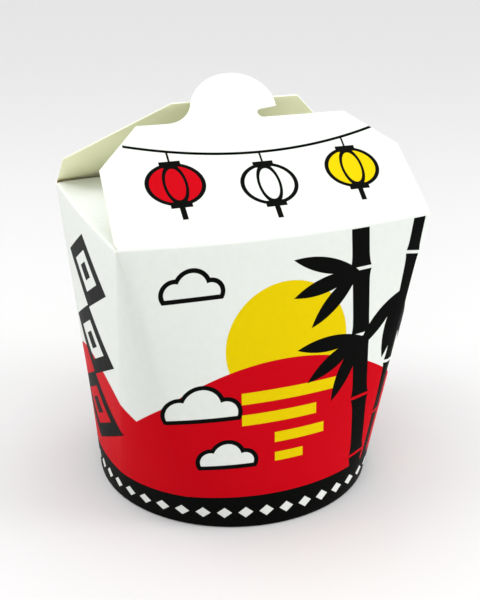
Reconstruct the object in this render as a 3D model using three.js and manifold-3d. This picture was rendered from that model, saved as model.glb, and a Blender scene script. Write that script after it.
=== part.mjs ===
// A shut takeaway meal box of folded paperboard, in millimetres, +Z up, with its front towards -Y.
// The wall rises from a round foot to a rectangular rim. Two dust flaps fold in from the rim's sides,
// and a front and a rear flap lean together over them like a tent. The front flap ends in a round tab
// with a hook. The origin is the middle of the foot, on the surface that the box stands on.

import * as THREE from "three";
import { mergeVertices } from "three/addons/utils/BufferGeometryUtils.js";
import Module from "manifold-3d";

const wasm = await Module();
wasm.setup();

// The wall
const FOOT_RADIUS = 49.5;
const RIM_HEIGHT = 100;
const RIM_WIDTH = 104;
const RIM_DEPTH = 84;
const RIM_CORNER = 1.5;
const FRONT_BOW = 1.6;
const SIDE_BOW = 0.8;
const BOARD = 0.5;

// The hem under the wall, with the base disc set up inside it
const HEM_WIDTH = 1.8;
const BASE_RECESS = 5;

// The dust flaps, which rise a little towards the middle and leave a dark gap along the front and rear
const DUST_RISE = 3.5;
const DUST_TAPER = 10;
const DUST_CLEARANCE = 0.4;
const GAP_DEPTH = 4;

// The front flap: its lean from upright, its shoulders, and its tab with the hook's slot
const FRONT_LEAN = 48.3;
const FRONT_SHOULDER = { across: 50.8, up: 28 };
const FRONT_TOP = { across: 36, up: 42.9 };
const TAB_MIDDLE = 0.2;
const TAB_TOP = 61.8;
const TAB_HOOK_RADIUS = 13;
const TAB_ROUND_RADIUS = 17;
const TAB_FILLET = 8;
const SLOT_END = 7;
const SLOT_WIDTH = 3.4;

// The rear flap
const REAR_LEAN = 53;
const REAR_SHOULDER = { across: 52, up: 19.6 };
const REAR_TOP = { across: 22, up: 55.9 };

// How finely the round stretches are stepped, and how far the cutting shapes reach past the box
const SIDE_STEPS = 10;
const CORNER_STEPS = 12;
const ROUND_STEPS = 64;
const CURVE_STEPS = 14;
const REACH = 60;
const SPAN = 400;

const RIGHT_ANGLE = 90;
const radians = THREE.MathUtils.degToRad;

// A closed mesh with its shared corners merged, as a solid that can be joined and cut.
function solid(geometry) {
  const bare = geometry.clone();
  bare.deleteAttribute("normal");
  bare.deleteAttribute("uv");
  const merged = mergeVertices(bare);
  return new wasm.Manifold(
    new wasm.Mesh({
      numProp: 3,
      vertProperties: new Float32Array(merged.attributes.position.array),
      triVerts: new Uint32Array(merged.index.array),
    }),
  );
}

// The surface of a solid, shaded flat.
function surface(body) {
  const mesh = body.getMesh();
  const geometry = new THREE.BufferGeometry();
  geometry.setAttribute("position", new THREE.Float32BufferAttribute(mesh.vertProperties, mesh.numProp));
  geometry.setIndex(new THREE.Uint32BufferAttribute(mesh.triVerts, 1));
  geometry.computeVertexNormals();
  return geometry;
}

function towards(angle, distance) {
  return new THREE.Vector2(Math.cos(angle), Math.sin(angle)).multiplyScalar(distance);
}

// The rim walked once around: each stop has the way that the outline faces there and its place.
// Each side is a shallow arc, and between two sides the outline turns a small round corner.
function rimWalk() {
  const halfWidth = RIM_WIDTH / 2 - RIM_CORNER;
  const halfDepth = RIM_DEPTH / 2 - RIM_CORNER;
  const long = { half: halfWidth, out: halfDepth, bow: FRONT_BOW };
  const short = { half: halfDepth, out: halfWidth, bow: SIDE_BOW };
  const sides = [long, short, long, short].map((side, index) => {
    const radius = (side.half ** 2 + side.bow ** 2) / (2 * side.bow);
    const middle = (index - 1) * radians(RIGHT_ANGLE);
    const centre = towards(middle, side.out + side.bow - radius);
    return { radius, middle, centre, sweep: Math.asin(side.half / radius) };
  });
  const stops = [];
  sides.forEach((side, index) => {
    const next = sides[(index + 1) % sides.length];
    for (let step = 0; step <= SIDE_STEPS; step++) {
      const facing = side.middle + side.sweep * ((2 * step) / SIDE_STEPS - 1);
      stops.push({ facing, place: towards(facing, side.radius).add(side.centre) });
    }
    const corner = stops[stops.length - 1].place;
    const first = side.middle + side.sweep;
    const last = side.middle + radians(RIGHT_ANGLE) - next.sweep;
    for (let step = 1; step < CORNER_STEPS; step++) {
      stops.push({ facing: first + ((last - first) * step) / CORNER_STEPS, place: corner });
    }
  });
  return stops;
}

// A solid through rings of points, from the lowest ring to the highest, closed by a fan at each end.
function loft(rings) {
  const count = rings[0].length;
  const points = rings.flat();
  const lowest = points.length;
  const highest = lowest + 1;
  points.push(new THREE.Vector3(0, 0, rings[0][0].z));
  points.push(new THREE.Vector3(0, 0, rings[rings.length - 1][0].z));
  const faces = [];
  const top = (rings.length - 1) * count;
  for (let i = 0; i < count; i++) {
    const j = (i + 1) % count;
    for (let row = 0; row < top; row += count) {
      faces.push(row + i, row + j, row + count + j, row + i, row + count + j, row + count + i);
    }
    faces.push(lowest, j, i, highest, top + i, top + j);
  }
  const geometry = new THREE.BufferGeometry().setFromPoints(points);
  geometry.setIndex(faces);
  return solid(geometry);
}

// The box's outer form, or the same form some way in: from the round foot, along straight lines that
// join points facing the same way, to the rim, and from there straight up past the flaps.
function wallForm(inset) {
  const stops = rimWalk();
  const ring = (height, place) => stops.map((stop) => {
    const point = place(stop);
    return new THREE.Vector3(point.x, point.y, height);
  });
  const foot = (stop) => towards(stop.facing, FOOT_RADIUS - inset);
  const rim = (stop) => towards(stop.facing, RIM_CORNER - inset).add(stop.place);
  return loft([ring(0, foot), ring(RIM_HEIGHT, rim), ring(RIM_HEIGHT + REACH, rim)]);
}

// Everything below a flat plane that climbs at a pitch from a crease out at some distance.
// Turned by 0 the crease is the front one, by a right angle the one on +X, and so on round.
function below(distance, pitch, turn) {
  const block = new THREE.BoxGeometry(SPAN, SPAN, SPAN);
  block.translate(0, 0, -SPAN / 2);
  block.rotateX(radians(pitch));
  block.translate(0, -distance, RIM_HEIGHT);
  block.rotateZ(radians(turn));
  return solid(block);
}

// A flat board in a flap's outline, laid back from a crease on the front, or on the rear when turned.
function flap(outline, lean, turn) {
  const board = new THREE.ExtrudeGeometry(outline, {
    depth: BOARD,
    bevelEnabled: false,
    curveSegments: CURVE_STEPS,
  });
  board.translate(0, 0, -BOARD);
  board.rotateX(radians(RIGHT_ANGLE - lean));
  board.translate(0, -RIM_DEPTH / 2, RIM_HEIGHT);
  board.rotateZ(radians(turn));
  return solid(board);
}

// The lower part of a flap's outline, from its left shoulder down, along below the crease, and up.
function flapOutline(shoulder) {
  const outline = new THREE.Shape();
  outline.moveTo(-shoulder.across, shoulder.up);
  outline.lineTo(-RIM_WIDTH / 2, 0);
  outline.lineTo(-RIM_WIDTH / 2, -2 * FRONT_BOW);
  outline.lineTo(RIM_WIDTH / 2, -2 * FRONT_BOW);
  outline.lineTo(RIM_WIDTH / 2, 0);
  outline.lineTo(shoulder.across, shoulder.up);
  return outline;
}

// The front flap: sloped shoulders, the slot under the hook, the hook's round end, the tab's wider
// round on the other side, and a fillet down to the straight top edge.
function frontOutline() {
  const outline = flapOutline(FRONT_SHOULDER);
  const slotRadius = SLOT_WIDTH / 2;
  const hookCentre = TAB_TOP - TAB_HOOK_RADIUS;
  const roundCentre = TAB_TOP - TAB_ROUND_RADIUS;
  const filletCentre = FRONT_TOP.up + TAB_FILLET;
  const reach = TAB_ROUND_RADIUS + TAB_FILLET;
  const filletSlope = Math.asin((filletCentre - roundCentre) / reach);
  const filletMiddle = TAB_MIDDLE - reach * Math.cos(filletSlope);
  const hookTip = Math.asin((FRONT_TOP.up + SLOT_WIDTH - hookCentre) / TAB_HOOK_RADIUS);
  const quarter = Math.PI / 2;
  outline.lineTo(FRONT_TOP.across, FRONT_TOP.up);
  outline.absarc(SLOT_END, FRONT_TOP.up + slotRadius, slotRadius, -quarter, -3 * quarter, true);
  outline.absarc(TAB_MIDDLE, hookCentre, TAB_HOOK_RADIUS, hookTip, quarter, false);
  outline.absarc(TAB_MIDDLE, roundCentre, TAB_ROUND_RADIUS, quarter, Math.PI - filletSlope, false);
  outline.absarc(filletMiddle, filletCentre, TAB_FILLET, -filletSlope, -quarter, true);
  outline.lineTo(-FRONT_TOP.across, FRONT_TOP.up);
  return outline;
}

function rearOutline() {
  const outline = flapOutline(REAR_SHOULDER);
  outline.lineTo(REAR_TOP.across, REAR_TOP.up);
  outline.lineTo(-REAR_TOP.across, REAR_TOP.up);
  return outline;
}

// What the two dust flaps cover, seen from above: full width at the sides, narrower at the middle.
function dustCover() {
  const half = RIM_WIDTH / 2 + SIDE_BOW;
  const wide = RIM_DEPTH / 2 - BOARD - DUST_CLEARANCE;
  const narrow = wide - half * Math.tan(radians(DUST_TAPER));
  const plan = new THREE.Shape();
  plan.moveTo(-half, -wide);
  plan.lineTo(0, -narrow);
  plan.lineTo(half, -wide);
  plan.lineTo(half, wide);
  plan.lineTo(0, narrow);
  plan.lineTo(-half, wide);
  const block = new THREE.ExtrudeGeometry(plan, { depth: REACH, bevelEnabled: false });
  block.translate(0, 0, RIM_HEIGHT - 2 * GAP_DEPTH);
  return solid(block);
}

// The room inside the rim, above the floor of the gaps beside the dust flaps.
function rimRoom() {
  const block = new THREE.BoxGeometry(SPAN, SPAN, SPAN);
  block.translate(0, 0, SPAN / 2 + RIM_HEIGHT - GAP_DEPTH);
  return wallForm(BOARD).intersect(solid(block));
}

// The hollow under the base disc.
function footRecess() {
  const radius = FOOT_RADIUS - HEM_WIDTH;
  const disc = new THREE.CylinderGeometry(radius, radius, 2 * BASE_RECESS, ROUND_STEPS);
  disc.rotateX(radians(RIGHT_ANGLE));
  return solid(disc);
}

function cartonForm() {
  const outer = wallForm(0);
  const frontPitch = RIGHT_ANGLE - FRONT_LEAN;
  const rearPitch = RIGHT_ANGLE - REAR_LEAN;
  const lid = outer
    .intersect(below(RIM_DEPTH / 2, frontPitch, 0))
    .intersect(below(RIM_WIDTH / 2, DUST_RISE, RIGHT_ANGLE))
    .intersect(below(RIM_DEPTH / 2, rearPitch, 2 * RIGHT_ANGLE))
    .intersect(below(RIM_WIDTH / 2, DUST_RISE, 3 * RIGHT_ANGLE));
  const gaps = rimRoom().subtract(dustCover());
  const front = flap(frontOutline(), FRONT_LEAN, 0).intersect(outer);
  const rear = flap(rearOutline(), REAR_LEAN, 2 * RIGHT_ANGLE).intersect(outer);
  return lid.subtract(gaps).add(front).add(rear).subtract(footRecess());
}

const paperboard = new THREE.MeshStandardMaterial({ color: 0xe6e8e4, roughness: 0.55, metalness: 0 });
const carton = new THREE.Mesh(surface(cartonForm()), paperboard);
carton.name = "carton";

const mealBox = new THREE.Group();
mealBox.name = "meal_box";
mealBox.add(carton);

export default mealBox;
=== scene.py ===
"""A shut takeaway meal box of folded paperboard: its board, folds and print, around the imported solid."""
import math
from dataclasses import dataclass, replace
from functools import reduce

import bmesh
import bpy
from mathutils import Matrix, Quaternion, Vector, noise


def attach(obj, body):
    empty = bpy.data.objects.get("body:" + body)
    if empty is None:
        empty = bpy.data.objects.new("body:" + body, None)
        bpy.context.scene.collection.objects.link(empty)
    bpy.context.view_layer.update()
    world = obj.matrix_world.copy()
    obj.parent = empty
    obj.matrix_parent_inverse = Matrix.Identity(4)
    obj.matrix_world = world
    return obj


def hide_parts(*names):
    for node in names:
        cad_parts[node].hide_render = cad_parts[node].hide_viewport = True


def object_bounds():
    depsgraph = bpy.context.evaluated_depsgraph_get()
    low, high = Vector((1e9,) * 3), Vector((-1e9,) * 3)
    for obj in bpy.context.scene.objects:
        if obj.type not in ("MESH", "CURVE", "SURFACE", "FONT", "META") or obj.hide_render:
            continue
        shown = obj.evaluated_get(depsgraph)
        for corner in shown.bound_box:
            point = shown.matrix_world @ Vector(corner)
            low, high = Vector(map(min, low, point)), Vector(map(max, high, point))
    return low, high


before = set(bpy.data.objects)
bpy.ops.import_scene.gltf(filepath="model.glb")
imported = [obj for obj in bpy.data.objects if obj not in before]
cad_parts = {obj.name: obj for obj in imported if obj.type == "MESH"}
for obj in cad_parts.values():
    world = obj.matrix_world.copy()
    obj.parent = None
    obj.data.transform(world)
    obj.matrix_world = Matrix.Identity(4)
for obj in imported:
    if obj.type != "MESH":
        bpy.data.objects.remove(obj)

bl_info = {
    "name": "Paperboard Meal Box",
    "version": (1, 0, 0),
    "blender": (4, 5, 0),
    "location": "View3D > Sidebar > Meal Box",
    "description": "Folds a printed takeaway box from one sheet of board and sets a base in its foot",
    "category": "Add Mesh",
}

MM = 0.001
HALF = 0.5
QUARTER = math.pi / 2
UP = Vector((0, 0, 1))
NODE = "carton"
BODY = "root"
CAD_LOW, CAD_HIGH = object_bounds()
FOOT_RADIUS = (CAD_HIGH.y - CAD_LOW.y) / 2

# How finely the pieces are divided, from which angle on edges stay sharp, and how near points are joined
SIDE_STEPS = (24, 40, 24, 40)
CORNER_STEPS = 16
WALL_ROWS = 32
FOLD_STEPS = 4
HEM_STEPS = 8
ARC_STEPS = 14
ROUND_STEPS = 128
SHEET_SHARP = math.radians(32)
BASE_SHARP = math.radians(40)
JOIN_DISTANCE = 0.01 * MM

# The material slots of the folded sheet, and those of its walls and flaps: front, right, rear and left
LONG_PRINT, SHORT_PRINT, FLAP_PRINT, WHITE_BOARD, INSIDE, CUT_EDGE = range(6)
WALL_PRINTS = (LONG_PRINT, SHORT_PRINT, LONG_PRINT, SHORT_PRINT)
FLAP_PRINTS = (FLAP_PRINT, WHITE_BOARD, WHITE_BOARD, WHITE_BOARD)

# The sheet's ends overlap at the middle of the corner after this side, over a glue tab of so many columns
LAP_SIDE = 1
TAB_COLUMNS = 4


def length(name, description, millimetres):
    return bpy.props.FloatProperty(
        name=name, description=description, default=millimetres * MM, unit="LENGTH", precision=5
    )


def lengths(name, description, across, up):
    return bpy.props.FloatVectorProperty(
        name=name, description=description, default=(across * MM, up * MM), size=2, unit="LENGTH", precision=5
    )


def angle(name, description, degrees):
    return bpy.props.FloatProperty(
        name=name, description=description, default=math.radians(degrees), subtype="ANGLE"
    )


def colour(name, description, red, green, blue):
    return bpy.props.FloatVectorProperty(
        name=name, description=description, default=(red, green, blue), size=3, subtype="COLOR", min=0, max=1
    )


def count(name, description, number):
    return bpy.props.IntProperty(name=name, description=description, default=number, min=3)


def location(name, description, x, y, z):
    return bpy.props.FloatVectorProperty(
        name=name, description=description, default=(x, y, z), size=3, unit="LENGTH", precision=5
    )


def power(name, description, watts):
    return bpy.props.FloatProperty(name=name, description=description, default=watts, unit="POWER")


def strength(name, description, value):
    return bpy.props.FloatProperty(name=name, description=description, default=value)


class BoardSizes(bpy.types.PropertyGroup):
    """The wall, the board that it is made of, and the foot."""

    foot_radius: length("Foot radius", "Outside of the round foot, from the packed model", FOOT_RADIUS / MM)
    rim_height: length("Rim height", "From the floor to the creases", 100)
    rim_width: length("Rim width", "Across the front, between the side creases", 104.5)
    rim_depth: length("Rim depth", "Between the front and rear creases", 84)
    rim_corner: length("Rim corner", "Radius of the rim's corners", 0.6)
    long_bow: length("Front bow", "How far the front and rear walls bulge at the rim", 1.6)
    short_bow: length("Side bow", "How far the side walls bulge at the rim", 0.8)
    long_sweep: angle("Front sweep", "Half the turn of the foot that the front and rear walls take", 36)
    short_sweep: angle("Side sweep", "Half the turn of the foot that the side walls take", 18)
    board: length("Board", "Thickness of the paperboard", 0.45)
    fold_radius: length("Fold radius", "Outer radius of the creases", 1.1)
    corner_relief: length("Corner relief", "How far the wall's corners stay below the rim", 0.3)
    lap_step: length("Lap step", "How proud the glued lap stands at the rear right corner", 0.5)
    unevenness: length("Unevenness", "How far the wall wanders from its true form", 0.12)
    unevenness_size: length("Unevenness size", "How far apart the wall's shallow dents are", 28)
    hem_turn: length("Hem turn", "Radius of the turn under the wall", 0.9)
    hem_height: length("Hem height", "How far the hem stands up inside the foot", 3.6)
    base_height: length("Base height", "From the floor to the underside of the base disc", 5.2)
    base_dome: length("Base dome", "How far the middle of the base disc rises", 0.5)
    base_clearance: length("Base clearance", "Gap between the wall and the base disc's skirt", 0.15)
    skirt_lift: length("Skirt lift", "How far above the hem's turn the skirt ends", 0.3)
    skirt_round: length("Skirt round", "Inner radius of the turn from the base disc to its skirt", 1.0)
    crimp_count: count("Crimps", "Pressed ribs round the inside of the hem", 132)
    crimp_width: length("Crimp width", "Width of one pressed rib", 0.9)
    crimp_height: length("Crimp height", "Height of one pressed rib", 2.6)


class FlapSizes(bpy.types.PropertyGroup):
    """The four flaps that shut the box."""

    front_lean: angle("Front lean", "Lean of the front flap from upright", 48.3)
    front_heel: lengths("Front heel", "Where the front flap's side edge begins", 52.2, 2.2)
    front_shoulder: lengths("Front shoulder", "Where the front flap's side edge ends", 50.8, 28)
    front_top: lengths("Front top", "Where the front flap's top edge ends", 36, 42.9)
    tab_middle: length("Tab middle", "The tab's middle line, from the flap's", 0.3)
    tab_top: length("Tab top", "From the crease to the top of the tab", 61.5)
    hook_radius: length("Hook radius", "Round of the tab over the hook", 12.4)
    tab_radius: length("Tab radius", "Round of the tab on its other side", 17.8)
    tab_fillet: length("Tab fillet", "Round between the tab and the top edge", 9.8)
    slot_end: length("Slot end", "Where the round end of the hook's slot has its middle", 7)
    slot_width: length("Slot width", "Width of the hook's slot", 3.4)
    hook_lift: length("Hook lift", "How much the hook's underside rises to its tip", 0.7)
    rear_lean: angle("Rear lean", "Lean of the rear flap from upright", 53)
    rear_shoulder: lengths("Rear shoulder", "Where the rear flap's side edge ends", 52, 19.6)
    rear_top: lengths("Rear top", "Where the rear flap's top edge ends", 22, 55.9)
    dust_rise: angle("Dust flap rise", "How much the dust flaps rise towards the middle", 6.0)
    dust_gap: length("Dust flap gap", "How far the dust flaps stay clear of the rear wall", 1.6)
    dust_heel: length("Dust flap heel", "How far from its crease a dust flap's side edges begin", 3)
    dust_taper: angle("Dust flap taper", "How much the dust flaps narrow on each side", 15)
    dust_reach: length("Dust flap reach", "Length of a dust flap from its crease", 51)
    # Along each crease strip the outside takes the fold's wear and the inside takes painted shade; the rear
    # strip is wider so that the painted shade reaches further up the rear flap's inside
    crease_strip: length("Crease strip", "Narrow strip along each crease that takes the fold's wear", 0.8)
    rear_strip: length("Rear crease strip", "Strip along the rear crease, where the score is wider", 3.6)


class PrintColours(bpy.types.PropertyGroup):
    """The board's own colours and its inks."""

    paper: colour("Paper", "Coated white outside of the board", 0.635, 0.657, 0.627)
    inside: colour("Inside", "Cream inside of the board", 0.95, 0.955, 0.655)
    edge: colour("Edge", "Cut edge of the board", 0.80, 0.79, 0.68)
    red: colour("Red", "Red ink", 0.465, 0.0012, 0.0065)
    yellow: colour("Yellow", "Yellow ink", 0.63, 0.48, 0.001)
    black: colour("Black", "Black ink", 0.002, 0.0024, 0.002)


class StageSettings(bpy.types.PropertyGroup):
    """Camera, floor and light."""

    camera_place: location("Camera place", "Where the camera stands", -0.11531, -0.29274, 0.18830)
    camera_aim: location("Camera aim", "The point in the middle of the picture", 0.00245, -0.00099, 0.06182)
    camera_roll: angle("Camera roll", "Turn of the camera about its line of sight", 0.194)
    camera_lens: bpy.props.FloatProperty(
        name="Lens", description="Focal length on a 36 mm frame", default=57.05, unit="CAMERA"
    )
    floor_colour: colour("Floor", "Pale floor", 0.58, 0.58, 0.58)
    backdrop: colour("Backdrop", "What shows past the end of the floor", 0.775, 0.775, 0.775)
    sky_strength: strength("Sky", "Strength of the even light", 0.9)
    key_strength: strength("Key light", "Strength of the soft light from above", 1.4)
    key_spread: angle("Key spread", "How wide the soft light is in the sky", 80)
    key_from: bpy.props.FloatVectorProperty(
        name="Key from", description="The way that the light from above comes from", size=3,
        default=(0.1, -0.12, 1.0), subtype="DIRECTION",
    )
    right_power: power("Right light", "Power of the soft light at the front right", 8.8)
    right_place: location("Right place", "Where the right light stands", 0.55, -0.35, 0.25)
    high_power: power("High light", "Power of the high light at the rear left", 4.0)
    high_place: location("High place", "Where the high light stands", -0.30, 0.10, 0.55)
    left_power: power("Left light", "Power of the soft light at the left", 1.6)
    left_place: location("Left place", "Where the left light stands", -0.60, 0.10, 0.20)
    front_power: power("Front light", "Power of the soft light at the front left", 1.8)
    front_place: location("Front place", "Where the front light stands", -0.35, -0.55, 0.25)
    lamp_size: length("Lamp size", "Width of the four soft lights", 300)


class Value:
    """A socket of a node tree. Arithmetic on it adds Math nodes to the tree."""

    def __init__(self, graph, socket):
        self.graph = graph
        self.socket = socket

    def math(self, operation, *others, clamp=False):
        return self.graph.math(operation, self, *others, clamp=clamp)

    def __add__(self, other):
        return self.math("ADD", other)

    __radd__ = __add__

    def __mul__(self, other):
        return self.math("MULTIPLY", other)

    __rmul__ = __mul__

    def __sub__(self, other):
        return self.math("SUBTRACT", other)

    def __rsub__(self, other):
        return self.graph.math("SUBTRACT", other, self)

    def __truediv__(self, other):
        return self.math("DIVIDE", other)

    def __rtruediv__(self, other):
        return self.graph.math("DIVIDE", other, self)

    def __abs__(self):
        return self.math("ABSOLUTE")

    def least(self, other):
        return self.math("MINIMUM", other)

    def most(self, other):
        return self.math("MAXIMUM", other)

    def repeat(self, period):
        """Counts from minus half a period to half a period, again and again."""
        return self.math("WRAP", period / 2, -period / 2)

    def floor(self):
        return self.math("FLOOR")


class Graph:
    """A node tree, written as expressions on its sockets."""

    # The Mix node's sockets for colours and for vectors, which share their names
    COLOUR_MIX = {"factor": 0, "first": 6, "second": 7, "output": 2}
    VECTOR_MIX = {"factor": 0, "first": 4, "second": 5, "output": 1}

    def __init__(self, tree):
        self.tree = tree

    def node(self, kind, settings=None, sockets=None, output=0):
        """Adds a node: its settings first, then the values or links of its sockets."""
        made = self.tree.nodes.new(kind)
        for name, value in (settings or {}).items():
            setattr(made, name, value)
        for key, value in (sockets or {}).items():
            if isinstance(value, Value):
                self.tree.links.new(value.socket, made.inputs[key])
            else:
                made.inputs[key].default_value = value
        return Value(self, made.outputs[output]) if made.outputs else None

    def math(self, operation, *terms, clamp=False):
        settings = {"operation": operation, "use_clamp": clamp}
        return self.node("ShaderNodeMath", settings, dict(enumerate(terms)))

    def vector(self, operation, first, second, output=0):
        return self.node("ShaderNodeVectorMath", {"operation": operation}, {0: first, 1: second}, output)

    def part(self, vector, axis):
        return self.node("ShaderNodeSeparateXYZ", None, {0: vector}, axis)

    def distance(self, place, x, y):
        return self.vector("DISTANCE", place, (x, y, 0), output="Value")

    def along(self, place, x, y):
        return self.vector("DOT_PRODUCT", place, (x, y, 0), output="Value")

    def blend(self, first, second, factor, kind="MIX"):
        """Mixes two colours."""
        mix = self.COLOUR_MIX
        settings = {"data_type": "RGBA", "blend_type": kind}
        sockets = {mix["factor"]: factor, mix["first"]: first, mix["second"]: second}
        return self.node("ShaderNodeMix", settings, sockets, mix["output"])

    def between(self, first, second, factor):
        """Mixes two vectors."""
        mix = self.VECTOR_MIX
        sockets = {mix["factor"]: factor, mix["first"]: first, mix["second"]: second}
        return self.node("ShaderNodeMix", {"data_type": "VECTOR"}, sockets, mix["output"])

    def noise(self, place, size, detail):
        sockets = {"Vector": place, "Scale": 1 / size, "Detail": detail}
        return self.node("ShaderNodeTexNoise", None, sockets)


def opaque(shade):
    return (*shade, 1.0)


# The wall: columns from the foot to the rim

@dataclass
class Side:
    """One of the rim's four sides and the plane that its flap lies in."""

    out: Vector
    along: Vector
    half: float
    distance: float
    bow: float
    sweep: float
    lean: float
    height: float
    outline: list

    @property
    def climb(self):
        return UP * math.cos(self.lean) - self.out * math.sin(self.lean)

    @property
    def face(self):
        return self.out * math.cos(self.lean) + UP * math.sin(self.lean)

    @property
    def hinge(self):
        return self.out * self.distance + UP * self.height

    def place(self, across, up):
        return self.hinge + self.along * across + self.climb * up

    def measure(self, point):
        offset = point - self.hinge
        return offset.dot(self.along), offset.dot(self.climb)

    def carries(self, across):
        """Whether the flap's crease reaches this far along the side."""
        within = max(-self.half, min(self.half, across))
        return self.outline[-1][0] <= within <= self.outline[0][0]


@dataclass
class Column:
    """One straight line of the wall, from the foot to the rim, and the way that it faces at the foot."""

    facing: Vector
    foot: Vector
    rim: Vector
    side: int
    turn: float = None
    lift: float = 0.0

    @property
    def rise(self):
        return (self.rim - self.foot).normalized()

    def at_height(self, height):
        return self.foot + (self.rim - self.foot) * (height / self.rim.z) + self.facing * self.lift

    def crease(self, side):
        """Where the column meets the plane of its side's flap."""
        line = self.rim - self.foot
        return self.foot + line * ((side.hinge - self.foot).dot(side.face) / line.dot(side.face))


def rim_sides(board, flaps):
    """The front, right, rear and left side."""
    dust_lean = QUARTER - flaps.dust_rise
    leans = (flaps.front_lean, dust_lean, flaps.rear_lean, dust_lean)
    dust_half = board.rim_depth / 2 - board.rim_corner
    outlines = (
        front_outline(flaps), dust_outline(flaps, dust_half, 1), rear_outline(flaps),
        dust_outline(flaps, dust_half, -1),
    )
    spans = (board.rim_width, board.rim_depth)
    sides = []
    for index, (lean, outline) in enumerate(zip(leans, outlines)):
        facing = (index - 1) * QUARTER
        long = index % 2 == 0
        across, out = spans if long else reversed(spans)
        sides.append(Side(
            out=Vector((math.cos(facing), math.sin(facing), 0)),
            along=Vector((-math.sin(facing), math.cos(facing), 0)),
            half=across / 2 - board.rim_corner,
            distance=out / 2,
            bow=board.long_bow if long else board.short_bow,
            sweep=board.long_sweep if long else board.short_sweep,
            lean=lean,
            height=board.rim_height,
            outline=outline,
        ))
    return sides


def rim_columns(board, sides):
    """The wall's columns in the order of the sheet, from the glue tab at one end to the lap at the other."""
    columns = []

    def towards(heading):
        return Vector((math.cos(heading), math.sin(heading), 0))

    def add(heading, stand, centre, radius, side, turn=None):
        columns.append(Column(
            facing=towards(stand),
            foot=towards(stand) * board.foot_radius,
            rim=centre + towards(heading) * radius + UP * board.rim_height,
            side=side,
            turn=turn,
        ))

    def bowed(side):
        radius = (side.half ** 2 + side.bow ** 2) / (2 * side.bow)
        return radius, math.asin(side.half / radius)

    for index, side in enumerate(sides):
        radius, half_turn = bowed(side)
        middle = math.atan2(side.out.y, side.out.x)
        centre = side.out * (side.distance - board.rim_corner + side.bow - radius)
        for step in range(SIDE_STEPS[index] + 1):
            share = 2 * step / SIDE_STEPS[index] - 1
            heading = middle + half_turn * share
            add(heading, middle + side.sweep * share, centre, radius + board.rim_corner, index)
        corner = centre + towards(heading) * radius
        following = sides[(index + 1) % len(sides)]
        last = middle + QUARTER - bowed(following)[1]
        for step in range(1, CORNER_STEPS):
            turn = step / CORNER_STEPS
            stand = middle + side.sweep + (QUARTER - following.sweep - side.sweep) * turn
            add(heading + (last - heading) * turn, stand, corner, board.rim_corner, index, turn)
    half_corner = CORNER_STEPS // 2
    seam = next(i for i, column in enumerate(columns) if column.side == LAP_SIDE and column.turn == HALF)
    lapped = columns[seam - half_corner + 1:seam + 1]
    tab = columns[seam - TAB_COLUMNS:seam]
    between = columns[seam:] + columns[:seam - half_corner + 1]
    lap = [replace(column, lift=board.lap_step * column.turn / HALF) for column in lapped]
    return tab + between + lap


def fold_depth(column, side, radius):
    """How far below and above the crease its round fold begins and ends: nothing beside the flap."""
    across = side.measure(column.crease(side))[0]
    return radius * math.tan(column.rise.angle(side.climb) / 2) if side.carries(across) else 0.0


def wall_top(column, sides, board):
    """Where the wall ends: at the start of its flap's fold, or in the small notch of a corner."""
    side = sides[column.side]
    depth = fold_depth(column, side, board.fold_radius)
    if column.turn is None:
        return column.crease(side) - column.rise * depth
    following = sides[(column.side + 1) % len(sides)]
    depth += (fold_depth(column, following, board.fold_radius) - depth) * column.turn
    depth += (board.corner_relief - depth) * math.sin(math.pi * column.turn)
    return column.rim - column.rise * depth + column.facing * column.lift


def unroll(lower, upper, middle):
    """Lays a run of columns flat: the places of their lower and upper ends, in millimetres.

    The middle column stands upright on the origin, and the ends of each column keep their distances from the
    ends of the column before it.
    """
    tall = (upper[middle] - lower[middle]).length
    flat = {middle: (Vector((0, 0)), Vector((0, tall)))}

    def place(start, end, from_start, from_end, hand):
        line = end - start
        step = (from_start ** 2 - from_end ** 2 + line.length_squared) / (2 * line.length)
        aside = math.sqrt(max(from_start ** 2 - step ** 2, 0)) * hand
        line.normalize()
        return start + line * step + Vector((line.y, -line.x)) * aside

    for hand, run in ((1, range(middle + 1, len(lower))), (-1, range(middle - 1, -1, -1))):
        for index in run:
            last = index - hand
            low, high = flat[last]
            flat[index] = tuple(
                place(low, high, (point - lower[last]).length, (point - upper[last]).length, hand)
                for point in (lower[index], upper[index])
            )
    return [tuple(end / MM for end in flat[index]) for index in range(len(lower))]


# Outlines of the flaps, from the right end of the crease over the top to its left end

def arc(x, y, radius, first, last):
    steps = range(ARC_STEPS + 1)
    turns = (first + (last - first) * step / ARC_STEPS for step in steps)
    return [(x + radius * math.cos(turn), y + radius * math.sin(turn)) for turn in turns]


def front_outline(flaps):
    shoulder_across, shoulder_up = flaps.front_shoulder
    top_across, top_up = flaps.front_top
    slot = flaps.slot_width / 2
    hook_up = flaps.tab_top - flaps.hook_radius
    round_up = flaps.tab_top - flaps.tab_radius
    fillet_up = top_up + flaps.tab_fillet
    reach = flaps.tab_radius + flaps.tab_fillet
    slope = math.asin((fillet_up - round_up) / reach)
    fillet_across = flaps.tab_middle - reach * math.cos(slope)
    tip = math.asin((top_up + flaps.slot_width + flaps.hook_lift - hook_up) / flaps.hook_radius)
    return [
        tuple(flaps.front_heel),
        (shoulder_across, shoulder_up),
        (top_across, top_up),
        *arc(flaps.slot_end, top_up + slot, slot, -QUARTER, -3 * QUARTER),
        *arc(flaps.tab_middle, hook_up, flaps.hook_radius, tip, QUARTER),
        *arc(flaps.tab_middle, round_up, flaps.tab_radius, QUARTER, math.pi - slope)[1:],
        *arc(fillet_across, fillet_up, flaps.tab_fillet, -slope, -QUARTER)[1:],
        (-top_across, top_up),
        (-shoulder_across, shoulder_up),
        (-flaps.front_heel[0], flaps.front_heel[1]),
    ]


def rear_outline(flaps):
    right = [tuple(flaps.rear_shoulder), tuple(flaps.rear_top)]
    return right + [(-across, up) for across, up in reversed(right)]


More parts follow.
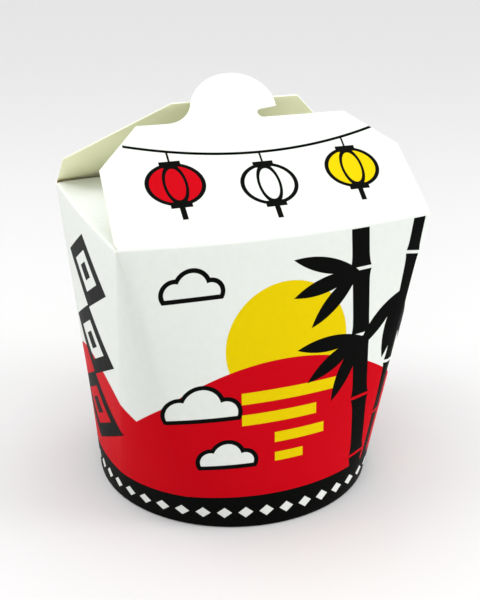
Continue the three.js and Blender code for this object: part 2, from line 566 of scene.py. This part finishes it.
def dust_outline(flaps, half, rear_hand):
    """A dust flap narrows to its end and stays clear of the rear wall, on its right (1) or its left (-1)."""
    narrowing = flaps.dust_reach * math.tan(flaps.dust_taper)
    right, left = (half - flaps.dust_gap, -half) if rear_hand > 0 else (half, flaps.dust_gap - half)
    return [
        (right, flaps.dust_heel),
        (right - narrowing, flaps.dust_reach),
        (left + narrowing, flaps.dust_reach),
        (left, flaps.dust_heel),
    ]


# Meshes and objects

def add_object(name, mesh):
    made = bpy.data.objects.new(name, mesh)
    bpy.context.scene.collection.objects.link(made)
    return made


def plain_mesh(made):
    """The mesh of an object with its modifiers worked in, and the object then without them."""
    evaluated = made.evaluated_get(bpy.context.evaluated_depsgraph_get())
    mesh = bpy.data.meshes.new_from_object(evaluated)
    made.modifiers.clear()
    made.data = mesh
    return mesh


def smooth(mesh, sharpest):
    mesh.shade_smooth()
    mesh.set_sharp_from_angle(angle=sharpest)


def settle(piece):
    """Every piece of the box belongs to its one body."""
    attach(piece, BODY)


def geometry_tree(name, inputs):
    """A new Geometry Nodes tree with named inputs, as a graph with one value for each input."""
    tree = bpy.data.node_groups.new(name, "GeometryNodeTree")
    tree.interface.new_socket(name="Geometry", in_out="OUTPUT", socket_type="NodeSocketGeometry")
    identifiers = {}
    for label, kind in inputs.items():
        socket = tree.interface.new_socket(name=label, in_out="INPUT", socket_type=f"NodeSocket{kind}")
        identifiers[label] = socket.identifier
    graph = Graph(tree)
    source = tree.nodes.new("NodeGroupInput")
    values = {label: Value(graph, source.outputs[label]) for label in inputs}
    return graph, values, identifiers


def end_tree(graph, geometry, material):
    """Ends a tree in real, painted mesh."""
    real = graph.node("GeometryNodeRealizeInstances", None, {"Geometry": geometry})
    painted = graph.node("GeometryNodeSetMaterial", None, {"Geometry": real, "Material": material})
    graph.node("NodeGroupOutput", None, {"Geometry": painted})


def run_tree(name, graph, identifiers, settings):
    """A new object with the mesh that a tree gives for these settings."""
    made = add_object(name, bpy.data.meshes.new(name))
    modifier = made.modifiers.new(name, "NODES")
    modifier.node_group = graph.tree
    for label, value in settings.items():
        modifier[identifiers[label]] = value
    mesh = plain_mesh(made)
    mesh.materials.pop(index=list(mesh.materials).index(None))
    return made


def outline_object(name, points):
    mesh = bpy.data.meshes.new(name)
    mesh.from_pydata(points, [], [])
    return add_object(name, mesh)


def ruled_wall(lower, upper, material):
    """A wall of straight columns between two outlines, row by row, from the lower to the upper one."""
    inputs = {
        "Lower outline": "Object", "Upper outline": "Object", "Columns": "Int", "Rows": "Int",
        "Material": "Material",
    }
    graph, value, identifiers = geometry_tree("Ruled wall", inputs)
    sockets = {"Size X": 1, "Size Y": 1, "Vertices X": value["Columns"], "Vertices Y": value["Rows"]}
    grid = graph.node("GeometryNodeMeshGrid", None, sockets)
    index = graph.node("GeometryNodeInputIndex")
    column = (index / value["Rows"]).floor()
    share = (index - column * value["Rows"]) / (value["Rows"] - 1)
    position = graph.node("GeometryNodeInputPosition")
    ends = []
    for label in ("Lower outline", "Upper outline"):
        outline = graph.node("GeometryNodeObjectInfo", None, {"Object": value[label]}, output="Geometry")
        sockets = {"Geometry": outline, "Value": position, "Index": column}
        ends.append(graph.node("GeometryNodeSampleIndex", {"data_type": "FLOAT_VECTOR"}, sockets))
    sockets = {"Geometry": grid, "Position": graph.between(*ends, share)}
    end_tree(graph, graph.node("GeometryNodeSetPosition", None, sockets), value["Material"])
    outlines = [outline_object("lower outline", lower), outline_object("upper outline", upper)]
    settings = {
        "Lower outline": outlines[0], "Upper outline": outlines[1], "Columns": len(lower),
        "Rows": WALL_ROWS, "Material": material,
    }
    wall = run_tree("folded_carton", graph, identifiers, settings)
    for outline in outlines:
        bpy.data.objects.remove(outline)
    return wall


class Sheet:
    """The folded sheet in the making: the ruled wall, to which flaps and a hem are added."""

    def __init__(self, wall, columns, sides, lower, upper):
        self.mesh = wall.data
        self.columns = columns
        self.sides = sides
        self.form = bmesh.new()
        self.form.from_mesh(self.mesh)
        self.print = self.form.loops.layers.uv.new("print")
        self.fold = self.form.verts.layers.float.new("fold")
        self.wall = list(self.form.verts)
        self.flat = self.unrolled_panels(lower, upper)
        self.lay_wall()

    def unrolled_panels(self, lower, upper):
        """For each side, where its columns lie when its part of the wall is rolled out flat."""
        corners = [number for number, column in enumerate(self.columns) if column.turn == HALF]
        starts = [0, *corners[1:-1]]
        flat = {}
        for start, end in zip(starts, corners[1:]):
            side = self.columns[end].side
            run = slice(start, end + 1)
            own = [
                number for number, column in enumerate(self.columns[run])
                if column.side == side and column.turn is None
            ]
            places = unroll(lower[run], upper[run], own[len(own) // 2])
            flat[side] = dict(enumerate(places, start))
        return flat

    def lay_wall(self):
        for face in self.form.faces:
            spots = [divmod(loop.vert.index, WALL_ROWS) for loop in face.loops]
            numbers = {number for number, row in spots}
            side = next(side for side, places in self.flat.items() if numbers <= places.keys())
            face.material_index = WALL_PRINTS[side]
            for loop, (number, row) in zip(face.loops, spots):
                low, high = self.flat[side][number]
                loop[self.print].uv = low.lerp(high, row / (WALL_ROWS - 1))

    def vert(self, place, fold=0.0):
        made = self.form.verts.new(place)
        made[self.fold] = fold
        return made

    def face(self, verts, places, material):
        made = self.form.faces.new(verts)
        made.material_index = material
        for loop, place in zip(made.loops, places):
            loop[self.print].uv = place

    def row(self, lower, upper, material):
        """A row of faces between two lists of (vertex, print place)."""
        for (a, b), (d, c) in zip(zip(lower, lower[1:]), zip(upper, upper[1:])):
            self.face([a[0], b[0], c[0], d[0]], [a[1], b[1], c[1], d[1]], material)

    def add_flap(self, index, strip, radius, material):
        """Folds a flap in from the top of its side: the round crease, a narrow strip, and the rest."""
        side = self.sides[index]
        runs = [[] for step in range(FOLD_STEPS + 2)]
        for number, column in enumerate(self.columns):
            crease = column.crease(side)
            across, up = side.measure(crease)
            if column.side != index or column.turn is not None or not side.carries(across):
                continue
            depth = fold_depth(column, side, radius)
            start = crease - column.rise * depth
            end = crease + side.climb * depth
            top = self.wall[number * WALL_ROWS + WALL_ROWS - 1]
            top[self.fold] = 1.0
            runs[0].append((top, (across / MM, (up - depth) / MM)))
            for step in range(1, FOLD_STEPS + 1):
                share = step / FOLD_STEPS
                place = start.lerp(crease, share).lerp(crease.lerp(end, share), share)
                level = (up + depth * (2 * share - 1)) / MM
                runs[step].append((self.vert(place, 1.0), (across / MM, level)))
            level = up + depth + strip
            runs[-1].append((self.vert(side.place(across, level)), (across / MM, level / MM)))
        for lower, upper in zip(runs, runs[1:]):
            self.row(lower, upper, material)
        rest = [(self.vert(side.place(across, up)), (across / MM, up / MM)) for across, up in side.outline]
        whole = runs[-1] + rest
        self.face([vert for vert, place in whole], [place for vert, place in whole], material)

    def add_hem(self, turn, height):
        """Turns the wall's lower edge in and up, round the inside of the foot."""
        for side, places in self.flat.items():
            runs = [[] for step in range(HEM_STEPS + 2)]
            for number, (low, high) in places.items():
                column = self.columns[number]
                wall = self.wall[number * WALL_ROWS]
                centre = wall.co - column.facing * turn
                runs[0].append((wall, low))
                for step in range(1, HEM_STEPS + 1):
                    sweep = math.pi * step / HEM_STEPS
                    below = math.sin(sweep)
                    spot = centre + (column.facing * math.cos(sweep) - UP * below) * turn
                    level = low - Vector((0, turn * sweep / MM))
                    runs[step].append((self.vert(spot, below), level))
                spot = centre - column.facing * turn + UP * height
                level = low - Vector((0, (turn * math.pi + height) / MM))
                runs[-1].append((self.vert(spot), level))
            for upper, lower in zip(runs, runs[1:]):
                self.row(lower, upper, WALL_PRINTS[side])

    def finish(self):
        """Joins the hems of the four sides, and gives the mesh back."""
        bmesh.ops.remove_doubles(self.form, verts=self.form.verts, dist=JOIN_DISTANCE)
        self.form.to_mesh(self.mesh)
        self.form.free()


def add_thickness(piece, board):
    """Gives the sheet its board's thickness, inwards, and paints the inside and the cut edges."""
    outer = len(piece.data.polygons)
    solidify = piece.modifiers.new("Board", "SOLIDIFY")
    solidify.thickness = board
    solidify.offset = -1
    solidify.use_even_offset = True
    solidify.use_quality_normals = True
    mesh = plain_mesh(piece)
    for index, face in enumerate(mesh.polygons):
        if index >= 2 * outer:
            face.material_index = CUT_EDGE
        elif index >= outer:
            face.material_index = INSIDE
    smooth(mesh, SHEET_SHARP)


def lathe(name, profile, material):
    """Turns a profile of (radius, height) about the upright axis. It starts and ends on the axis."""
    form = bmesh.new()
    rings = []
    for radius, height in profile:
        if radius == 0:
            rings.append([form.verts.new((0, 0, height))])
            continue
        turns = (2 * math.pi * step / ROUND_STEPS for step in range(ROUND_STEPS))
        rings.append([form.verts.new((radius * math.cos(t), radius * math.sin(t), height)) for t in turns])
    for lower, upper in zip(rings, rings[1:]):
        for step in range(ROUND_STEPS):
            following = (step + 1) % ROUND_STEPS
            corners = [lower[step % len(lower)], lower[following % len(lower)],
                       upper[following % len(upper)], upper[step % len(upper)]]
            form.faces.new(dict.fromkeys(corners))
    bmesh.ops.recalc_face_normals(form, faces=form.faces)
    mesh = bpy.data.meshes.new(name)
    form.to_mesh(mesh)
    form.free()
    mesh.materials.append(material)
    smooth(mesh, BASE_SHARP)
    return add_object(name, mesh)


# Shapes of the print, as distances in millimetres that are below zero inside

INK_EDGE = 0.08
JOINT_POWER = 6
JOINT_SWELL = 0.16
JOINT_GAP = 0.55
CLOUD_PUFFS = ((-0.62, 0.0, 0.38), (0.0, 0.18, 0.52), (0.64, -0.04, 0.34))
CLOUD_BASE = 0.16


def ink(distance):
    """A mask that is one inside a shape and zero outside it."""
    return distance.math("MULTIPLY_ADD", -1 / INK_EDGE, HALF, clamp=True)


def inked(graph, picture, shade, shape):
    """A picture with one shape printed over it."""
    return graph.blend(picture, opaque(shade), ink(shape))


def union(shapes):
    return reduce(lambda first, second: first.least(second), shapes)


def disc(graph, place, x, y, radius):
    return graph.distance(place, x, y) - radius


def leaf(graph, place, x, y, heading, long, wide):
    """A pointed leaf from its stem at (x, y), where two large discs overlap."""
    turn = math.radians(heading)
    along = Vector((math.cos(turn), math.sin(turn)))
    across = Vector((-along.y, along.x))
    radius = (long ** 2 + wide ** 2) / (4 * wide)
    middle = Vector((x, y)) + along * (long / 2)
    halves = [graph.distance(place, *(middle + across * (radius - wide / 2) * hand)) for hand in (-1, 1)]
    return halves[0].most(halves[1]) - radius


def stalk(graph, place, x, y, heading, wide, joint):
    """A jointed cane from its root at (x, y): it swells at each joint and is cut by a thin gap there."""
    turn = math.radians(heading)
    east, north = math.cos(turn), math.sin(turn)
    up = graph.along(place, east, north) - (x * east + y * north)
    across = graph.along(place, north, -east) - (x * north - y * east)
    from_middle = abs(up.repeat(joint)) / (joint / 2)
    swell = from_middle.math("POWER", JOINT_POWER) * (wide * JOINT_SWELL)
    gap = (from_middle - 1) * (joint / 2) + JOINT_GAP
    return (abs(across) - swell - wide / 2).most(gap)


def cloud(graph, place, x, y, size):
    """A flat-bottomed cloud of three puffs."""
    body = union([disc(graph, place, x + a * size, y + b * size, r * size) for a, b, r in CLOUD_PUFFS])
    floor = (y - CLOUD_BASE * size) - graph.part(place, "Y")
    return body.most(floor)


def box(graph, place, x, y, half_x, half_y):
    across = abs(graph.part(place, "X") - x) - half_x
    up = abs(graph.part(place, "Y") - y) - half_y
    return across.most(up)


# The print of each part of the sheet, in millimetres and degrees

BAND_HEIGHT = 12.0
# The middle and the radius of each disc
GROUND = (0, -12.9, 71.3)
SHORT_GROUNDS = ((0, -10.1, 58.2), (75.3, -20.2, 71.3), (-75.3, -20.2, 71.3))
SUN = (1, 63, 21)
# The middle and the halves of each glint, then the middle and the size of each cloud
GLINTS = ((2, 46.5, 17, 2.0), (-2, 39, 13, 1.9), (5, 31.5, 9, 1.8), (1, 24.5, 5, 1.6))
CLOUDS = ((-28, 43, 12), (-20, 25, 9), (-30, 84, 9))
CLOUD_LINE = 1.5
# The root, heading, width and joint of each cane, then the stem and the heading of each cluster of leaves
CANES = ((31, 4, 93, 6.4, 23), (36, 0, 83, 4.4, 19.5))
LEAF_CLUSTERS = ((26, 84, 195), (28, 61, 212), (43, 74, 258))
LEAVES_EACH = 3
LEAF_SPREAD = 30
LEAF_SIZE = (24, 5.2)


def long_print(graph, place, colours):
    """Front and rear: a low sun over a red ground, canes with leaves, and a few clouds."""
    picture = inked(graph, opaque(colours.paper), colours.yellow, disc(graph, place, *SUN))
    picture = inked(graph, picture, colours.red, disc(graph, place, *GROUND))
    glints = union([box(graph, place, *glint) for glint in GLINTS])
    picture = inked(graph, picture, colours.yellow, glints)
    for x, y, size in CLOUDS:
        body = cloud(graph, place, x, y, size)
        picture = inked(graph, picture, colours.black, body - CLOUD_LINE)
        picture = inked(graph, picture, colours.paper, body)
    growth = [stalk(graph, place, *cane) for cane in CANES]
    for x, y, heading in LEAF_CLUSTERS:
        for number in range(LEAVES_EACH):
            turn = heading + LEAF_SPREAD * (number - (LEAVES_EACH - 1) / 2)
            growth.append(leaf(graph, place, x, y, turn, *LEAF_SIZE))
    return inked(graph, picture, colours.black, union(growth))


LOZENGE = (25, 13)
LOZENGE_HEIGHTS = (29, 54, 79)
LOZENGE_LINE = 5.6
LOZENGE_CORE = 0.26


def short_print(graph, place, colours):
    """Left and right: a column of open lozenges over the red ground."""
    ground = union([disc(graph, place, *hill) for hill in SHORT_GROUNDS])
    picture = inked(graph, opaque(colours.paper), colours.red, ground)
    across = abs(graph.part(place, "X")) / LOZENGE[0]
    up = graph.part(place, "Y")
    shapes = []
    for middle in LOZENGE_HEIGHTS:
        edge = (across + abs(up - middle) / LOZENGE[1] - 1) * LOZENGE[1]
        shapes.append(abs(edge + LOZENGE_LINE / 2) - LOZENGE_LINE / 2)
        shapes.append(edge + LOZENGE[1] * (1 - LOZENGE_CORE))
    return inked(graph, picture, colours.black, union(shapes))


LANTERNS = ((-29, 20.5, "red"), (1, 17.5, "paper"), (31, 20.5, "yellow"))
LANTERN_SIZE = (8.2, 6.6)
LANTERN_LINE = 1.4
LANTERN_RIB = 0.42
LANTERN_RIB_LINE = LANTERN_LINE / 3
LANTERN_CAP = (LANTERN_SIZE[0] * 0.42, LANTERN_LINE * 0.8)
TASSEL = {"drop": 3.4, "halves": (0.9, 2.6)}
THREAD = {"rise": 2.4, "halves": (0.35, 2.6)}
CORD = {"middle": 1, "low": 29.5, "sag": 0.0034, "line": 0.5, "half": 43}


def lantern(graph, place, x, y, fill, colours, picture):
    """A round paper lantern with ribs, caps and a tassel, on a short thread."""
    wide, tall = LANTERN_SIZE
    offset = graph.vector("SUBTRACT", place, (x, y, 0))

    def ring(share):
        scaled = graph.vector("MULTIPLY", offset, (1 / (wide * share), 1 / tall, 0))
        return disc(graph, scaled, 0, 0, 1) * (wide * share)

    body = ring(1)
    picture = inked(graph, picture, colours.black, body - LANTERN_LINE)
    picture = inked(graph, picture, fill, body)
    cap = tall + LANTERN_LINE / 2
    lines = [
        abs(ring(LANTERN_RIB)) - LANTERN_RIB_LINE,
        box(graph, place, x, y - cap, *LANTERN_CAP),
        box(graph, place, x, y + cap, *LANTERN_CAP),
        box(graph, place, x, y - tall - TASSEL["drop"], *TASSEL["halves"]),
        box(graph, place, x, y + tall + THREAD["rise"], *THREAD["halves"]),
    ]
    return inked(graph, picture, colours.black, union(lines))


def flap_print(graph, place, colours):
    """Front flap: three lanterns on a slack cord."""
    across = graph.part(place, "X") - CORD["middle"]
    level = across * across * CORD["sag"] + CORD["low"]
    rope = abs(graph.part(place, "Y") - level) - CORD["line"]
    picture = inked(graph, opaque(colours.paper), colours.black, rope.most(abs(across) - CORD["half"]))
    for x, y, fill in LANTERNS:
        picture = lantern(graph, place, x, y, getattr(colours, fill), colours, picture)
    return picture


BAND_LOZENGES = 44
BAND_LOZENGE = (2.5, 2.0)


def foot_band(graph, spot, radius, colours, picture):
    """A black band round the foot, with a row of small white lozenges."""
    height = graph.part(spot, "Z") / MM
    round_foot = graph.math("ARCTAN2", graph.part(spot, "Y"), graph.part(spot, "X")) * (radius / MM)
    period = 2 * math.pi * radius / MM / BAND_LOZENGES
    middle = BAND_HEIGHT / 2
    across = abs(round_foot.repeat(period)) / BAND_LOZENGE[0]
    up = abs(height - middle)
    lozenge = (across + up / BAND_LOZENGE[1] - 1) * BAND_LOZENGE[1]
    picture = inked(graph, picture, colours.black, height - BAND_HEIGHT)
    return inked(graph, picture, colours.paper, lozenge)


# Materials: the coated outside of the board, then its raw inside and edges

MOTTLE_SIZE = 2.2 * MM
MOTTLE_DETAIL = 3
MOTTLE_SHARE = 0.7
MOTTLE_SHADE = (0.90, 0.91, 0.90, 1.0)
GRAIN_SIZE = 0.35 * MM
GRAIN_DETAIL = 2
FOLD_SHADE = (0.62, 0.62, 0.59, 1.0)
FOLD_POWER = 3
WEAR_GAIN = 2.4
WEAR_LOSS = 1.3
COATED_BUMP = {"Strength": 0.12, "Distance": 0.1 * MM}
COATED_ROUGHNESS = 0.42
MOTTLE_ROUGHNESS = 0.12
FOLD_ROUGHNESS = 0.15
COATED_FINISH = {
    "Specular IOR Level": 0.02,
    "Subsurface Weight": 0.5,
    "Subsurface Radius": (1, 1, 0.8),
    "Subsurface Scale": 0.5 * MM,
}

FIBRE_STRETCH = (1, 0.22, 1)
FIBRE_SIZE = 0.5 * MM
FIBRE_DETAIL = 4
FIBRE_DEPTH = 0.86
CLOUDY_SIZE = 9 * MM
CLOUDY_DETAIL = 2
CLOUDY_SHARE = 0.5
# Painted shade: a dark brown laid along the inside of each crease, standing in for the shadow in the fold's
# crevice
CREASE_SHADOW_SHADE = (0.42, 0.33, 0.12, 1.0)
RAW_BUMP = {"Strength": 0.2, "Distance": 0.08 * MM}
RAW_ROUGHNESS = 0.62
FIBRE_ROUGHNESS = 0.2
RAW_FINISH = {"Specular IOR Level": 0.15}
INSIDE_STREAK = 0.5
EDGE_STREAK = 0.9
BASE_STREAK = 0.6


def new_graph(name):
    """A new material and its empty tree."""
    material = bpy.data.materials.new(name)
    material.use_nodes = True
    material.node_tree.nodes.clear()
    return material, Graph(material.node_tree)


def object_place(graph):
    """Where the surface is in its object."""
    return graph.node("ShaderNodeTexCoord", output="Object")


def fold_share(graph):
    """How much of a fold there is: one on a crease, zero on flat board."""
    return graph.node("ShaderNodeAttribute", {"attribute_name": "fold"}, output="Fac")


def bump(graph, settings, height):
    return graph.node("ShaderNodeBump", None, {**settings, "Height": height})


def end_material(graph, sockets):
    surface = graph.node("ShaderNodeBsdfPrincipled", None, sockets)
    graph.node("ShaderNodeOutputMaterial", None, {"Surface": surface})


def coated_board(name, paint):
    """The coated outside of the board, with what paint puts on it."""
    material, graph = new_graph(name)
    spot = object_place(graph)
    place = graph.node("ShaderNodeUVMap", {"uv_map": "print"})
    fold = fold_share(graph)
    mottle = graph.noise(spot, MOTTLE_SIZE, MOTTLE_DETAIL)
    grain = graph.noise(spot, GRAIN_SIZE, GRAIN_DETAIL)
    picture = paint(graph, place, spot)
    picture = graph.blend(picture, MOTTLE_SHADE, mottle * MOTTLE_SHARE, "MULTIPLY")
    worn = (fold.math("POWER", FOLD_POWER) * grain).math("MULTIPLY_ADD", WEAR_GAIN, -WEAR_LOSS, clamp=True)
    height = mottle * MOTTLE_SHARE + grain * (1 - MOTTLE_SHARE)
    end_material(graph, {
        **COATED_FINISH,
        "Base Color": graph.blend(picture, FOLD_SHADE, worn),
        "Roughness": COATED_ROUGHNESS + MOTTLE_ROUGHNESS * mottle + FOLD_ROUGHNESS * fold,
        "Normal": bump(graph, COATED_BUMP, height),
    })
    return material


def raw_board(name, shade, streak, crease_shadow=0.0):
    """Uncoated board, with its fibres lying one way, and painted shade laid along its creases for the shadow
    in each fold's crevice.
    """
    material, graph = new_graph(name)
    spot = object_place(graph)
    stretched = graph.node("ShaderNodeMapping", None, {"Vector": spot, "Scale": FIBRE_STRETCH})
    fibre = graph.noise(stretched, FIBRE_SIZE, FIBRE_DETAIL)
    cloudy = graph.noise(spot, CLOUDY_SIZE, CLOUDY_DETAIL)
    deeper = tuple(part * FIBRE_DEPTH for part in shade)
    picture = graph.blend(opaque(shade), opaque(deeper), fibre * streak)
    picture = graph.blend(picture, MOTTLE_SHADE, cloudy * CLOUDY_SHARE, "MULTIPLY")
    end_material(graph, {
        **RAW_FINISH,
        "Base Color": graph.blend(picture, CREASE_SHADOW_SHADE, fold_share(graph) * crease_shadow),
        "Roughness": RAW_ROUGHNESS + FIBRE_ROUGHNESS * fibre,
        "Normal": bump(graph, RAW_BUMP, fibre),
    })
    return material


def sheet_materials(board, colours):
    """The folded sheet's materials, in the order of its slots."""

    def with_band(picture_of):
        def paint(graph, place, spot):
            return foot_band(graph, spot, board.foot_radius, colours, picture_of(graph, place, colours))
        return paint

    return [
        coated_board("front_print", with_band(long_print)),
        coated_board("side_print", with_band(short_print)),
        coated_board("flap_print", lambda graph, place, spot: flap_print(graph, place, colours)),
        coated_board("white_board", lambda graph, place, spot: opaque(colours.paper)),
        # The cream inside takes the full painted crease shade; the cut edges and the base take none
        raw_board("cream_inside", tuple(colours.inside), INSIDE_STREAK, crease_shadow=1.0),
        raw_board("cut_edge", tuple(colours.edge), EDGE_STREAK),
    ]


def rough_wall(wall, columns, board):
    """Moves the wall's points a little in and out, most at half its height."""
    for vert in wall.data.vertices:
        number, row = divmod(vert.index, WALL_ROWS)
        middle = math.sin(math.pi * row / (WALL_ROWS - 1))
        wander = noise.noise(vert.co / board.unevenness_size)
        vert.co += columns[number].facing * (wander * middle * board.unevenness)


class CARTON_OT_fold_sheet(bpy.types.Operator):
    """Folds the printed sheet: the wall, the four flaps and the hem, as one board"""

    bl_idname = "carton.fold_sheet"
    bl_label = "Fold the Sheet"

    def execute(self, context):
        board = context.scene.carton_board
        flaps = context.scene.carton_flaps
        sides = rim_sides(board, flaps)
        columns = rim_columns(board, sides)
        lower = [column.at_height(board.hem_turn) for column in columns]
        upper = [wall_top(column, sides, board) for column in columns]
        materials = sheet_materials(board, context.scene.carton_colours)
        piece = ruled_wall(lower, upper, materials[LONG_PRINT])
        rough_wall(piece, columns, board)
        sheet = Sheet(piece, columns, sides, lower, upper)
        strips = (flaps.crease_strip, flaps.crease_strip, flaps.rear_strip, flaps.crease_strip)
        for index, (strip, material) in enumerate(zip(strips, FLAP_PRINTS)):
            sheet.add_flap(index, strip, board.fold_radius, material)
        sheet.add_hem(board.hem_turn, board.hem_height)
        sheet.finish()
        for material in materials[LONG_PRINT + 1:]:
            piece.data.materials.append(material)
        add_thickness(piece, board.board)
        settle(piece)
        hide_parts(NODE)
        return {"FINISHED"}


# A point of the base disc's dome, as a share of the disc's radius and of the dome's rise
DOME_OUT = 0.5
DOME_UP = 0.75


class CARTON_OT_set_base(bpy.types.Operator):
    """Sets the round base disc, with its skirt turned down, inside the foot"""

    bl_idname = "carton.set_base"
    bl_label = "Set the Base"

    def execute(self, context):
        board = context.scene.carton_board
        paper = context.scene.carton_colours.paper
        thick = board.board
        outside = board.foot_radius - thick - board.base_clearance
        inside = outside - thick
        under = board.base_height
        top = under + thick
        foot = board.hem_turn + board.skirt_lift
        turn = board.skirt_round
        inner_round = arc(inside - turn, under - turn, turn, QUARTER, 0)
        outer_round = arc(outside - turn - thick, top - turn - thick, turn + thick, 0, QUARTER)
        dome = [(0, board.base_dome), (inside * DOME_OUT, board.base_dome * DOME_UP)]
        profile = [
            *[(radius, under + rise) for radius, rise in dome],
            *inner_round,
            (inside, foot),
            (outside, foot),
            *outer_round,
            *[(radius, top + rise) for radius, rise in reversed(dome)],
        ]
        piece = lathe("base_disc", profile, raw_board("base_board", tuple(paper), BASE_STREAK))
        settle(piece)
        return {"FINISHED"}


RIB_BALL = {"Segments": 8, "Rings": 6, "Radius": HALF}
RIB_LEVEL = 0.52


class CARTON_OT_press_crimps(bpy.types.Operator):
    """Presses a ring of small ribs into the hem inside the foot"""

    bl_idname = "carton.press_crimps"
    bl_label = "Press the Crimps"

    def execute(self, context):
        board = context.scene.carton_board
        colours = context.scene.carton_colours
        inputs = {
            "Ribs": "Int", "Ring radius": "Float", "Rib size": "Vector", "Height": "Vector",
            "Material": "Material",
        }
        graph, value, identifiers = geometry_tree("Hem crimps", inputs)
        sockets = {"Vertices": value["Ribs"], "Radius": value["Ring radius"]}
        ring = graph.node("GeometryNodeMeshCircle", None, sockets)
        sockets = {"Geometry": ring, "Translation": value["Height"]}
        placed = graph.node("GeometryNodeTransform", None, sockets)
        ball = graph.node("GeometryNodeMeshUVSphere", None, RIB_BALL)
        sockets = {"Points": placed, "Instance": ball, "Scale": value["Rib size"]}
        ribs = graph.node("GeometryNodeInstanceOnPoints", None, sockets)
        smoothed = graph.node("GeometryNodeSetShadeSmooth", None, {"Geometry": ribs})
        end_tree(graph, smoothed, value["Material"])
        level = board.hem_turn + board.hem_height * RIB_LEVEL
        piece = run_tree("hem_crimps", graph, identifiers, {
            "Ribs": board.crimp_count,
            "Ring radius": board.foot_radius - 2 * board.hem_turn,
            "Rib size": (board.crimp_width, board.crimp_width, board.crimp_height),
            "Height": (0, 0, level),
            "Material": coated_board("hem_ink", lambda graph, place, spot: opaque(colours.black)),
        })
        settle(piece)
        return {"FINISHED"}


LAMPS = ("right", "high", "left", "front")
FLOOR_HALF = 6.0
FLOOR_FINISH = {"Roughness": 0.9, "Specular IOR Level": 0.1}
WHITE = (1, 1, 1)


def aim(made, sight, roll=0.0):
    """Turns the key light or the camera to look along a line of sight."""
    turn = sight.to_track_quat("-Z", "Y") @ Quaternion(UP, roll)
    made.rotation_euler = turn.to_euler()


class CARTON_OT_set_stage(bpy.types.Operator):
    """Sets the pale floor, the soft light and the camera"""

    bl_idname = "carton.set_stage"
    bl_label = "Set the Stage"

    def execute(self, context):
        stage = context.scene.carton_stage
        self.lay_floor(stage)
        self.light(context.scene, stage)
        self.place_camera(context.scene, stage)
        return {"FINISHED"}

    def lay_floor(self, stage):
        half = FLOOR_HALF
        corners = [(-half, -half, 0), (half, -half, 0), (half, half, 0), (-half, half, 0)]
        mesh = bpy.data.meshes.new("floor")
        mesh.from_pydata(corners, [], [range(len(corners))])
        material, graph = new_graph("pale_floor")
        end_material(graph, {**FLOOR_FINISH, "Base Color": opaque(stage.floor_colour)})
        mesh.materials.append(material)
        add_object("floor", mesh)

    def light(self, scene, stage):
        world = bpy.data.worlds.new("even light")
        world.use_nodes = True
        world.node_tree.nodes.clear()
        graph = Graph(world.node_tree)
        sockets = {"Color": opaque(WHITE), "Strength": stage.sky_strength}
        lit = graph.node("ShaderNodeBackground", None, sockets)
        seen = graph.node("ShaderNodeBackground", None, {"Color": opaque(stage.backdrop)})
        straight = graph.node("ShaderNodeLightPath", output="Is Camera Ray")
        sky = graph.node("ShaderNodeMixShader", None, {0: straight, 1: lit, 2: seen})
        graph.node("ShaderNodeOutputWorld", None, {"Surface": sky})
        scene.world = world
        key = bpy.data.lights.new("key", "SUN")
        key.angle = stage.key_spread
        key.energy = stage.key_strength
        aim(add_object("key", key), -Vector(stage.key_from))
        for name in LAMPS:
            soft = bpy.data.lights.new(name, "POINT")
            soft.shadow_soft_size = stage.lamp_size / 2
            soft.energy = getattr(stage, f"{name}_power")
            lamp = add_object(name, soft)
            lamp.location = getattr(stage, f"{name}_place")
        scene.view_settings.view_transform = "Standard"

    def place_camera(self, scene, stage):
        lens = bpy.data.cameras.new("camera")
        lens.lens = stage.camera_lens
        camera = add_object("camera", lens)
        camera.location = stage.camera_place
        aim(camera, Vector(stage.camera_aim) - Vector(stage.camera_place), stage.camera_roll)
        scene.camera = camera


class CARTON_PT_panel(bpy.types.Panel):
    """The box's pieces and what can be changed about them."""

    bl_label = "Meal Box"
    bl_idname = "CARTON_PT_panel"
    bl_space_type = "VIEW_3D"
    bl_region_type = "UI"
    bl_category = "Meal Box"

    def draw(self, context):
        for operator in OPERATORS:
            self.layout.operator(operator.bl_idname)
        for group in GROUPS:
            box_layout = self.layout.box()
            settings = getattr(context.scene, group)
            for name in settings.bl_rna.properties.keys():
                if name not in ("rna_type", "name"):
                    box_layout.prop(settings, name)


GROUPS = {
    "carton_board": BoardSizes,
    "carton_flaps": FlapSizes,
    "carton_colours": PrintColours,
    "carton_stage": StageSettings,
}
OPERATORS = (CARTON_OT_fold_sheet, CARTON_OT_set_base, CARTON_OT_press_crimps, CARTON_OT_set_stage)


def register():
    for group in GROUPS.values():
        bpy.utils.register_class(group)
    for name, group in GROUPS.items():
        setattr(bpy.types.Scene, name, bpy.props.PointerProperty(type=group))
    for operator in OPERATORS:
        bpy.utils.register_class(operator)
    bpy.utils.register_class(CARTON_PT_panel)


def unregister():
    bpy.utils.unregister_class(CARTON_PT_panel)
    for operator in reversed(OPERATORS):
        bpy.utils.unregister_class(operator)
    for name, group in GROUPS.items():
        delattr(bpy.types.Scene, name)
        bpy.utils.unregister_class(group)


def main():
    register()
    bpy.ops.carton.fold_sheet()
    bpy.ops.carton.set_base()
    bpy.ops.carton.press_crimps()
    bpy.ops.carton.set_stage()


if __name__ == "__main__":
    main()
